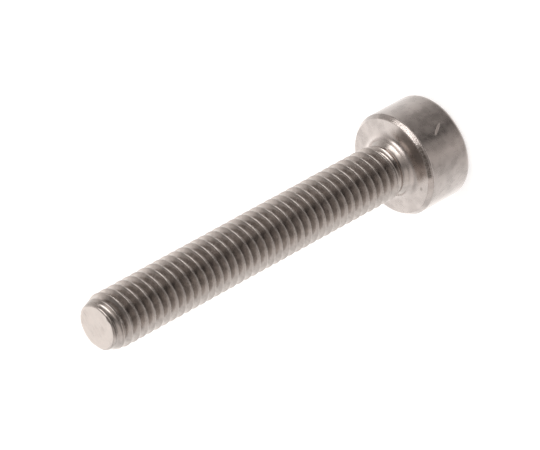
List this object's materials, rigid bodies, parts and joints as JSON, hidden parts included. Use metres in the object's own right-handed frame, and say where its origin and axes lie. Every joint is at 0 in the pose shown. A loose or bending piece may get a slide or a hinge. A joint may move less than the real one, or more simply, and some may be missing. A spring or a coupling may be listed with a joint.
{
  "type": "hex socket cap screw",
  "caption": "Small steel screw with a plain round head, a hexagon socket, a short neck and a fine thread along the whole shank, tapered at the tip.",
  "frame": {"origin": "centre of the head's outer end, on which the screw stands", "axes": "+Z along the screw's axis from the head to the tip; +X through a corner of the hexagon socket"},
  "size_m": [0.0054, 0.0054, 0.0229],
  "materials": {
    "steel": "plain stainless steel, bright on the rolled thread and satin on the forged head"
  },
  "bodies": {
    "root": {"cap_screw": "steel"}
  },
  "joints": []
}
